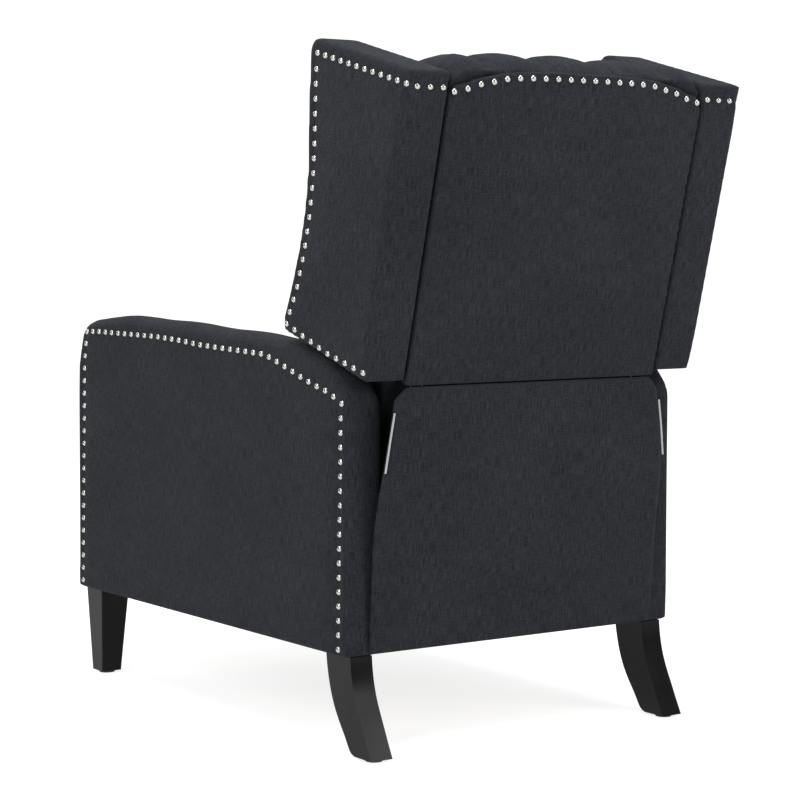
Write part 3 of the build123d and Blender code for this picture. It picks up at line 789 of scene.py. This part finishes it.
class RECLINER_OT_arms(bpy.types.Operator):
    """Padded arms in cloth, with a rolled top"""
    bl_idname = "recliner.arms"
    bl_label = "Arm upholstery"

    def execute(self, context):
        nails, padding = settings(context)
        front, rear, shoulder = -0.878, -0.006, 0.56
        ring = [(y + REAR_Y, z) for y, z in [(front, ARM_LOW.z)] + ARM_TOP + [(rear, ARM_LOW.z)]]
        arm = outline_block("arm_upholstery_left", ring, ARM_LOW.x, ARM_HIGH.x)

        def on_top(middle, way):
            return abs(way.x) < 0.1 and middle.z > shoulder and middle.y < REAR_Y - 0.005

        def on_ends(middle, way):
            return abs(way.x) < 0.1 and abs(way.z) > 0.9 and middle.z < 0.6

        bevel_where(arm, on_top, padding.roll, 5)
        bevel_where(arm, on_ends, 0.006, 3)
        even_mesh(arm, padding.grain, 2)
        co, no = coordinates(arm), normals(arm)
        flat = co[:, 1:] - np.array([REAR_Y, 0.0])
        pull = nail_pull(flat, ARM_NAIL_LINES, rows(ARM_NAIL_LINES, nails), padding.dimple)
        outer = share(no[:, 0])
        # the field inside the nail line stands slightly proud, as do the rolls beyond it
        inside = share(lines_distance(flat, ARM_NAIL_LINES) / 0.03)
        bulge = 0.0022 * inside * share((0.60 - co[:, 2]) / 0.1) * share((co[:, 2] - ARM_LOW.z) / 0.05)
        co[:, 0] -= outer * (pull - bulge)
        # the inner face bulges a little, and the top rises and falls slightly along its length
        co[:, 0] -= 0.0015 * share(-no[:, 0])
        top = share(no[:, 2]) * share((co[:, 2] - 0.5) / 0.05)
        co[:, 2] += 0.0010 * top * np.sin(co[:, 1] * 31.0)
        set_coordinates(arm, co)
        apply_modifier(arm, "SMOOTH", factor=0.4, iterations=1)
        shade(arm)
        cloth = cloth_material("upholstery cloth")
        for side, piece in both_sides(arm, "arm_upholstery_right").items():
            hidden = ("arm_cover_left", "arm_padding") if side == "left" else ("arm_cover_right",)
            dress(piece, cloth, "base", hidden)
        return {"FINISHED"}


class RECLINER_OT_arm_nails(bpy.types.Operator):
    """Rows of nailheads round the arms' outer faces"""
    bl_idname = "recliner.arm_nails"
    bl_label = "Arm nailheads"

    def execute(self, context):
        points = [(y + REAR_Y, z) for y, z in rows(ARM_NAIL_LINES, context.scene.recliner_nails)]
        for side, sign in SIDES:
            rays = [((sign * 0.4, y, z), (-sign, 0, 0)) for y, z in points]
            arm = bpy.data.objects[f"arm_upholstery_{side}"]
            nail_row(f"arm_nailheads_{side}", arm, rays, "base", f"arm_nails_{side}")
        return {"FINISHED"}


class RECLINER_OT_wings(bpy.types.Operator):
    """Padded wings either side of the back"""
    bl_idname = "recliner.wings"
    bl_label = "Wing upholstery"

    def execute(self, context):
        nails, padding = settings(context)
        inner_x = 0.2455                         # just clear of the outer back cloth
        ring = [tilt(u, v) for u, v in [(0.0, 0.0)] + WING_FRONT + [(0.4675, 0.238), (0.4675, 0.0)]]
        wing = outline_block("wing_upholstery_left", ring, inner_x, WING_OUTER)

        bevel_where(wing, side_edges(lambda u, v: v < 0.01), 0.007, 3)
        bevel_where(wing, side_edges(lambda u, v: v > 0.1), 0.015, 4)
        even_mesh(wing, padding.grain * 0.85, 3)
        co, no = coordinates(wing), normals(wing)
        _, u, v = untilt(co)
        flat = np.stack([u, v], axis=1)
        pull = nail_pull(flat, WING_NAIL_LINES, rows(WING_NAIL_LINES, nails), padding.dimple)
        inside = share(lines_distance(flat, WING_NAIL_LINES) / 0.05)
        inside *= (u > 0.02) & (u < 0.44) & (v < 0.24)
        outer = share(no[:, 0])
        co[:, 0] += outer * (0.0030 * inside - pull)
        # the rear face is lightly stuffed and drawn in at its three nails
        rear = share(no @ np.array(back_direction(0, -1)))
        across = share(1 - ((co[:, 0] - 0.283) / 0.036) ** 2)
        along = share(u / 0.06) * share((0.44 - u) / 0.05)
        out = 0.0035 * across * along
        for x in WING_REAR_NAILS:
            out -= padding.dimple * bell(np.hypot(co[:, 0] - x, u - WING_REAR_NAIL_HEIGHT), NAIL_PIT)
        out -= 0.45 * padding.dimple * bell(u - WING_REAR_NAIL_HEIGHT, NAIL_GROOVE)
        # fine gathers stand along the rear face's outer edge
        gather = bell(co[:, 0] - 0.308, 0.010) * along
        out += 0.0007 * gather * np.sin(co[:, 0] * 1150.0 + 2.0 * np.sin(u * 9.0))
        co = pushed(co, rear * out, 0, -1)
        set_coordinates(wing, co)
        apply_modifier(wing, "SMOOTH", factor=0.4, iterations=1)
        shade(wing)
        cloth = cloth_material("leaning cloth", padding.lean)
        for side, piece in both_sides(wing, "wing_upholstery_right").items():
            hidden = ("wing_cover_left", "wing_padding") if side == "left" else ("wing_cover_right",)
            dress(piece, cloth, "back", hidden)
        return {"FINISHED"}


class RECLINER_OT_wing_nails(bpy.types.Operator):
    """Nailheads round the wings and across their rear faces"""
    bl_idname = "recliner.wing_nails"
    bl_label = "Wing nailheads"

    def execute(self, context):
        points = [tilt(u, v) for u, v in rows(WING_NAIL_LINES, context.scene.recliner_nails)]
        forward = back_direction(0, 1)
        for side, sign in SIDES:
            rays = [((sign * 0.4, y, z), (-sign, 0, 0)) for y, z in points]
            for x in WING_REAR_NAILS:
                start = Vector((sign * x, *tilt(WING_REAR_NAIL_HEIGHT, 0.0))) - forward * 0.1
                rays.append((start, forward))
            wing = bpy.data.objects[f"wing_upholstery_{side}"]
            nail_row(f"wing_nailheads_{side}", wing, rays, "back", f"wing_nails_{side}")
        return {"FINISHED"}


def arch_height(x):
    """Height of the nail arch at a distance from the middle."""
    xs, us = zip(*BACK_ARCH)
    return np.interp(np.abs(x), xs, us)


class RECLINER_OT_outer_back(bpy.types.Operator):
    """Outer back cloth between the wings"""
    bl_idname = "recliner.outer_back"
    bl_label = "Outer back"

    def execute(self, context):
        nails, padding = settings(context)
        half, lip, shoulder = OUTER_BACK_HALF, 0.009, 0.430
        right = [(half, OUTER_BACK_FOOT), (half, shoulder)] + [(x, u + lip) for x, u in BACK_ARCH[::-1]]
        ring = right + [(-x, u) for x, u in right[-2::-1]]
        corners = [(x, *tilt(u, OUTER_BACK_DEPTH)) for x, u in ring]
        panel = extruded("outer_back_cloth", corners, back_direction(0, -OUTER_BACK_DEPTH))
        even_mesh(panel, padding.grain * 0.75, 5)
        co, no = coordinates(panel), normals(panel)
        x, u, _ = untilt(co)
        rear = share(no @ np.array(back_direction(0, -1)))
        arch = arch_height(x)
        spread = share(1 - (x / half) ** 2) * share((arch - u) / 0.10) * share((u + 0.01) / 0.08)
        out = 0.0045 * spread - 0.35 * padding.dimple * bell(u - arch, 0.006)
        line = [(-x, u) for x, u in BACK_ARCH[::-1]] + BACK_ARCH[1:]
        heads = spaced(line, BACK_PITCH * nails.spread)
        for nx, nu in heads:
            out -= 0.9 * padding.dimple * bell(np.hypot(x - nx, u - nu), NAIL_PIT)
        co = pushed(co, rear * out, 0, -1)
        set_coordinates(panel, co)
        shade(panel)
        cloth = cloth_material("leaning cloth", padding.lean)
        dress(panel, cloth, "back", ("outer_back_panel",))
        forward = back_direction(0, 1)
        rays = [(Vector((nx, *tilt(nu, 0.0))) - forward * 0.1, forward) for nx, nu in heads]
        nail_row("back_nailheads", panel, rays, "back", "back_nails")
        return {"FINISHED"}


class RECLINER_OT_back_cushion(bpy.types.Operator):
    """Inner back: padded by simulation, then diamond tufted with covered buttons"""
    bl_idname = "recliner.back_cushion"
    bl_label = "Tufted inner back"

    def execute(self, context):
        padding = context.scene.recliner_padding
        half, crown_end = CUSHION_HALF, 0.195
        ring = [tilt(u, v) for u, v in CUSHION_OUTLINE]
        pad = outline_block("back_upholstery", ring, -half, half)
        bevel_where(pad, side_edges(lambda u, v: v > 0.15), 0.022, 4)
        even_mesh(pad, padding.grain, 4)
        co = coordinates(pad)
        x, u, v = untilt(co)
        # the crown drops towards its two ends
        drop = 0.020 * share((np.abs(x) - crown_end) / (half - crown_end)) ** 2.5
        drop *= share((u - 0.40) / 0.06)
        co = pushed(co, -drop, 1, 0)
        set_coordinates(pad, co)
        x, u, v = untilt(co)
        swell(pad, PRESSURE, 0.024, held=(v < 0.062) | (u < -0.115))
        co = coordinates(pad)
        co[:, 0] = np.clip(co[:, 0], -CUSHION_LIMIT, CUSHION_LIMIT)
        x, u, v = untilt(co)
        rear_limit = np.where(u < CROWN_FOOT, CUSHION_REAR, CROWN_REAR)
        co = pushed(co, np.clip(rear_limit - v, 0, None), 0, 1)
        x, u, v = untilt(co)
        depth = self.tuft_depth(x, u, padding.tuft)
        face = share((v - 0.10) / 0.05)
        co = pushed(co, -depth * face, 0, 1)
        # pleats run from the top buttons over the crown, with rolls between them
        over = share((u - 0.405) / 0.03) * share((v - 0.002) / 0.015)
        pleat = np.zeros(len(x))
        for top_button in BUTTON_ROWS[0][1]:
            pleat += 0.0065 * bell(x - top_button, 0.009)
        roll = 0.0022 * np.cos(x / (2 * BUTTON_STEP[0]) * 2 * math.pi) * (np.abs(x) < 0.2)
        co += normals(pad) * ((roll - pleat) * over)[:, None]
        set_coordinates(pad, co)
        apply_modifier(pad, "SMOOTH", factor=0.4, iterations=2)
        shade(pad)
        cloth = cloth_material("leaning cloth", padding.lean)
        dress(pad, cloth, "back", ("back_cushion",))
        self.buttons(pad, cloth)
        return {"FINISHED"}

    def tuft_depth(self, x, u, depth):
        """Depth of the tufted front: a pit at each button and a fold between diagonal neighbours."""
        pit_width, fold_width = 0.019, 0.0075
        pit = np.zeros(len(x))
        for bx, bu in BUTTONS:
            pit += depth * bell(np.hypot(x - bx, u - bu), pit_width)
        flat = np.stack([x, u], axis=1)
        fold = np.zeros(len(x))
        for i, (ax, au) in enumerate(BUTTONS):
            for bx, bu in BUTTONS[i + 1:]:
                apart = abs(ax - bx) - BUTTON_STEP[0], abs(au - bu) - BUTTON_STEP[1]
                if max(abs(gap) for gap in apart) < 0.002:
                    fold = np.maximum(fold, bell(line_distance(flat, [(ax, au), (bx, bu)]), fold_width))
        for bx in BUTTON_ROWS[-1][1]:
            down = line_distance(flat, [(bx, BUTTON_ROWS[-1][0]), (bx, -0.02)])
            fold = np.maximum(fold, bell(down, fold_width) * share((u + 0.03) / 0.12))
        return pit + 0.38 * depth * fold

    def buttons(self, pad, cloth):
        """Covered buttons, a domed shell drawn into each pit."""
        clear_selection()
        bpy.ops.mesh.primitive_uv_sphere_add(segments=20, ring_count=12, radius=0.0115, location=(0, 0, 0))
        button = bpy.context.object
        bpy.ops.object.mode_set(mode="EDIT")
        bpy.ops.mesh.select_all(action="SELECT")
        bpy.ops.transform.resize(value=(1.0, 1.0, 0.42))
        bpy.ops.object.mode_set(mode="OBJECT")
        bpy.context.view_layer.update()
        matrices = []
        for x, u in BUTTONS:
            hit, place, _, _ = pad.ray_cast(Vector((x, *tilt(u, 0.30))), back_direction(0, -1))
            if not hit:
                raise RuntimeError("a button misses the back")
            matrices.append(standing(back_direction(0, 1), place + back_direction(0, 0.0012)))
        row = joined_copies("covered_buttons", button, matrices)
        shade(row)
        dress(row, cloth, "back", ("back_buttons",))


class RECLINER_OT_drop_cloth(bpy.types.Operator):
    """Loose cloth that closes the rear below the back, which on the chair is drawn up as the back leans; here it
    is built in its resting shape only.
    """
    bl_idname = "recliner.drop_cloth"
    bl_label = "Lower rear cloth"

    def execute(self, context):
        clear_selection()
        bpy.ops.mesh.primitive_grid_add(x_subdivisions=84, y_subdivisions=84, size=1, location=(0, 0, 0))
        cloth = context.object
        cloth.name = "lower_rear_drop"
        heights, widths, depths = zip(*DROP_CLOTH)
        co = coordinates(cloth)
        s, t = co[:, 0] * 2, co[:, 1] + 0.5
        z = heights[0] + (heights[-1] - heights[0]) * t
        half = np.interp(z, heights, widths)
        y = REAR_Y + np.interp(z, heights, depths)
        x = s * half
        # slack: the sides curl in towards the arms, shallow pleats hang from the top corners
        edge = share((np.abs(s) - 0.965) / 0.035)
        y -= 0.005 * edge ** 2
        corner = bell(np.abs(s) - 0.93, 0.06) * share((z - 0.48) / 0.07)
        y += 0.0025 * corner * np.sin((np.abs(x) - 0.6 * z) * 330.0)
        y += 0.0022 * bell(z - 0.30, 0.10) * np.cos(x * 9.0)
        y += 0.0008 * np.sin(x * 21.0 + z * 13.0) * np.sin(np.pi * t)
        set_coordinates(cloth, np.stack([x, y, z], axis=1))
        apply_modifier(cloth, "SMOOTH", factor=0.5, iterations=2)
        apply_modifier(cloth, "SOLIDIFY", thickness=0.0022, offset=1.0)
        face_outwards(cloth)
        shade(cloth)
        dress(cloth, cloth_material("upholstery cloth"), None, ("lower_rear_cloth",))
        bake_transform(cloth)
        self.tapes(heights, widths, depths)
        return {"FINISHED"}

    def tapes(self, heights, widths, depths):
        """Pale tape that edges each side of the loose cloth."""
        for side, sign in SIDES:
            clear_selection()
            bpy.ops.mesh.primitive_grid_add(x_subdivisions=2, y_subdivisions=24, size=1, location=(0, 0, 0))
            tape = bpy.context.object
            tape.name = f"rear_edge_tape_{side}"
            co = coordinates(tape)
            z = TAPE_FOOT + TAPE_LENGTH * (co[:, 1] + 0.5)
            x = np.interp(z, heights, widths) - 0.0012 + co[:, 0] * TAPE_WIDTH
            y = REAR_Y + np.interp(z, heights, depths) + 0.0005
            set_coordinates(tape, np.stack([x * sign, y, z], axis=1))
            apply_modifier(tape, "SOLIDIFY", thickness=0.0012, offset=0.0)
            face_outwards(tape)
            shade(tape, 40)
            hidden = ("rear_zip_tapes",) if sign > 0 else ()
            dress(tape, zip_tape(), None, hidden)
            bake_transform(tape)


class RECLINER_OT_foot_sleeves(bpy.types.Operator):
    """Black cloth sewn round the feet of the back frame, darker than the upholstery: partly a real cover, partly a
    dark sheet of painted shade in the gap between the back and the lower rear cloth
    """
    bl_idname = "recliner.foot_sleeves"
    bl_label = "Back foot lining"

    def execute(self, context):
        ring = [(REAR_Y - 0.094, 0.377), (REAR_Y - 0.0375, 0.377), tilt(-0.016, 0.0095), tilt(0.075, 0.008),
                tilt(0.075, 0.046), tilt(-0.016, 0.046)]
        sleeve = outline_block("back_foot_lining_left", ring, 0.2045, 0.2295)
        bevel_where(sleeve, lambda middle, way: True, 0.002, 2)
        even_mesh(sleeve, 0.003, 2)
        shade(sleeve)
        # at 0.35 of the cloth's colour this is near black: its own colour, and also painted shade for the gap
        # behind the arms
        shade_lining = cloth_material("black lining", 0.0, 0.35)
        for piece in both_sides(sleeve, "back_foot_lining_right").values():
            dress(piece, shade_lining, "back")
        return {"FINISHED"}


class RECLINER_OT_seat(bpy.types.Operator):
    """Seat cushion with welted seams, and the band under its front edge"""
    bl_idname = "recliner.seat"
    bl_label = "Seat"

    def execute(self, context):
        padding = context.scene.recliner_padding
        rear = SEAT_HIGH.y + SEAT_TUCK
        low = SEAT_LOW + Vector((0.004, 0.005, 0.0))
        high = Vector((SEAT_HIGH.x - 0.004, rear - 0.002, SEAT_HIGH.z - 0.012))
        pad = box_block("seat_upholstery", low, high)
        bevel_where(pad, lambda middle, way: abs(way.z) > 0.9, 0.020, 4)
        bevel_where(pad, lambda middle, way: abs(way.z) < 0.1 and middle.z > high.z - 0.002, 0.010, 3)
        even_mesh(pad, padding.grain, 3)
        co = coordinates(pad)
        swell(pad, PRESSURE, 0.024, held=co[:, 2] < low.z + 0.010)
        co = coordinates(pad)
        co[:, 0] = np.clip(co[:, 0], SEAT_LOW.x - 0.0015, SEAT_HIGH.x + 0.0015)
        co[:, 1] = np.clip(co[:, 1], SEAT_LOW.y - 0.006, rear)
        co[:, 2] = np.clip(co[:, 2], SEAT_LOW.z + 0.0005, SEAT_TOP - 0.003)
        # crown: higher in the middle, and a sitter's hollow towards the rear
        x, y, z = co.T
        middle, reach = (SEAT_LOW.y + SEAT_HIGH.y) / 2, (SEAT_HIGH.y - SEAT_LOW.y) / 2
        crown = np.sqrt(share(1 - (x / SEAT_HIGH.x) ** 2) * share(1 - ((y - middle) / reach) ** 2))
        hollow = bell(x, 0.13) * bell(y, 0.15)
        co[:, 2] += share((z - 0.45) / 0.02) * (0.006 * crown - 0.004 * hollow)
        co[:, 2] = np.minimum(co[:, 2], SEAT_TOP)
        # the welted seam draws the cloth in all round
        seam = SEAT_HIGH.z - 0.014
        side = np.abs(normals(pad)[:, 2]) < 0.75
        inward = 0.0035 * bell(co[:, 2] - seam, 0.005) * side
        co[:, 0] -= np.sign(co[:, 0]) * inward * (np.abs(co[:, 0]) > 0.235)
        co[:, 1] += inward * (co[:, 1] < SEAT_LOW.y + 0.02)
        set_coordinates(pad, co)
        apply_modifier(pad, "SMOOTH", factor=0.4, iterations=2)
        shade(pad)
        cloth = cloth_material("upholstery cloth")
        dress(pad, cloth, "seat", ("seat_cushion",))
        half, front, r = SEAT_HIGH.x - 0.001, SEAT_LOW.y - 0.002, 0.020
        for name, z in (("seat_welt_top", seam), ("seat_welt_bottom", SEAT_LOW.z + 0.004)):
            path = rounded_rectangle(-half, half, front, rear - 0.003, r, z)
            dress(welt(name, path, 0.0028), cloth, "seat")
        band = box_block("seat_band_cloth", BAND_LOW, BAND_HIGH)
        bevel_where(band, lambda middle, way: True, 0.005, 3)
        even_mesh(band, 0.003, 2)
        shade(band)
        dress(band, cloth, "seat", ("seat_front_band",))
        return {"FINISHED"}


def rounded_rectangle(x0, x1, y0, y1, r, z):
    """Points of a rounded rectangle at one height."""
    points = []
    left, right, front, rear = x0 + r, x1 - r, y0 + r, y1 - r
    for cx, cy, start in ((right, rear, 0), (left, rear, 90), (left, front, 180), (right, front, 270)):
        for k in range(9):
            a = math.radians(start + 90 * k / 8)
            points.append((cx + r * math.cos(a), cy + r * math.sin(a), z))
    return points


class RECLINER_OT_footrest(bpy.types.Operator):
    """Padded footrest panel; the welt round its face is not built."""
    bl_idname = "recliner.footrest"
    bl_label = "Footrest"

    def execute(self, context):
        padding = context.scene.recliner_padding
        low = FOOT_LOW + Vector((0.004, 0.009, 0.004))
        # the cloth is wrapped round the board behind the padding
        high = Vector((FOOT_HIGH.x - 0.004, BOARD_REAR + 0.0004, FOOT_HIGH.z - 0.004))
        pad = box_block("footrest_upholstery", low, high)
        bevel_where(pad, lambda middle, way: middle.y < low.y + 0.002, 0.012, 4)
        even_mesh(pad, padding.grain, 3)
        co = coordinates(pad)
        swell(pad, PRESSURE, 0.016, held=co[:, 1] > FOOT_HIGH.y - 0.004)
        co = coordinates(pad)
        co[:, 0] = np.clip(co[:, 0], FOOT_LOW.x - 0.001, FOOT_HIGH.x + 0.001)
        co[:, 1] = np.clip(co[:, 1], FOOT_LOW.y - 0.004, high.y)
        co[:, 2] = np.clip(co[:, 2], FOOT_LOW.z - 0.001, FOOT_HIGH.z + 0.002)
        set_coordinates(pad, co)
        apply_modifier(pad, "SMOOTH", factor=0.4, iterations=1)
        shade(pad)
        cloth = cloth_material("upholstery cloth")
        dress(pad, cloth, "footrest", ("footrest_pad",))
        return {"FINISHED"}


class RECLINER_OT_finishes(bpy.types.Operator):
    """Finishes on the legs, frames, springs and mechanism"""
    bl_idname = "recliner.finishes"
    bl_label = "Frame finishes"

    def execute(self, context):
        lacquer = tuple(context.scene.recliner_finish.lacquer)
        lacquer_pores = tuple(c * 0.6 for c in lacquer)
        upright, across = (0, 0, 0), (0, math.radians(90), 0)
        metal = {"metallic": 1.0, "spread": 0.05}
        finish = {
            "black_lacquer": wood_material("black lacquer", lacquer, lacquer_pores, 0.24, upright, 0.05),
            "hardwood": wood_material("hardwood", (0.52, 0.36, 0.20), (0.36, 0.23, 0.12), 0.62, across, 0.15),
            "mechanism_steel": hard_material("black steel", (0.020, 0.020, 0.022), 0.42, coat=0.15),
            "spring_wire": hard_material("spring wire", (0.42, 0.42, 0.43), 0.38, scale=2.0, **metal),
            "zinc_screws": hard_material("zinc screw", (0.66, 0.66, 0.63), 0.34, scale=4.0, **metal),
            "glide_nylon": hard_material("nylon glide", (0.02, 0.02, 0.02), 0.55, scale=2.0, spread=0.1),
            "padding_foam": foam_material(),
            "webbing": cloth_material("black webbing", 0.0, 0.6),
            "nickel_nails": nickel(),
            "upholstery_cloth": cloth_material("upholstery cloth"),
            "zip_tape": zip_tape(),
        }
        for entry in frame["record"]["subparts"]:
            node = frame["nodes"][entry["node"]]
            if not node.material_slots:
                node.data.materials.append(None)
            for place in node.material_slots:
                place.material = finish[entry["material_slot"]]
        return {"FINISHED"}


class RECLINER_PT_panel(bpy.types.Panel):
    """Builds the chair piece by piece"""
    bl_label = "Wing Recliner"
    bl_idname = "RECLINER_PT_panel"
    bl_space_type = "VIEW_3D"
    bl_region_type = "UI"
    bl_category = "Recliner"

    def draw(self, context):
        for group in GROUPS:
            box = self.layout.box()
            owner = getattr(context.scene, group)
            for key in owner.bl_rna.properties.keys():
                if key not in ("rna_type", "name"):
                    box.prop(owner, key)
        for operator in OPERATORS:
            self.layout.operator(operator.bl_idname)


GROUPS = {"recliner_cloth": ReclinerCloth, "recliner_nails": ReclinerNails,
          "recliner_padding": ReclinerPadding, "recliner_finish": ReclinerFinish}
OPERATORS = [RECLINER_OT_stage, RECLINER_OT_finishes, RECLINER_OT_arms, RECLINER_OT_arm_nails,
             RECLINER_OT_wings, RECLINER_OT_wing_nails, RECLINER_OT_outer_back, RECLINER_OT_back_cushion,
             RECLINER_OT_drop_cloth, RECLINER_OT_foot_sleeves, RECLINER_OT_seat, RECLINER_OT_footrest]


def register():
    for name, group in GROUPS.items():
        bpy.utils.register_class(group)
        setattr(bpy.types.Scene, name, bpy.props.PointerProperty(type=group))
    for operator in OPERATORS:
        bpy.utils.register_class(operator)
    bpy.utils.register_class(RECLINER_PT_panel)


def unregister():
    bpy.utils.unregister_class(RECLINER_PT_panel)
    for operator in reversed(OPERATORS):
        bpy.utils.unregister_class(operator)
    for name, group in GROUPS.items():
        delattr(bpy.types.Scene, name)
        bpy.utils.unregister_class(group)


def main():
    register()
    for operator in OPERATORS:
        family, call = operator.bl_idname.split(".")
        getattr(getattr(bpy.ops, family), call)()


if __name__ == "__main__":
    main()
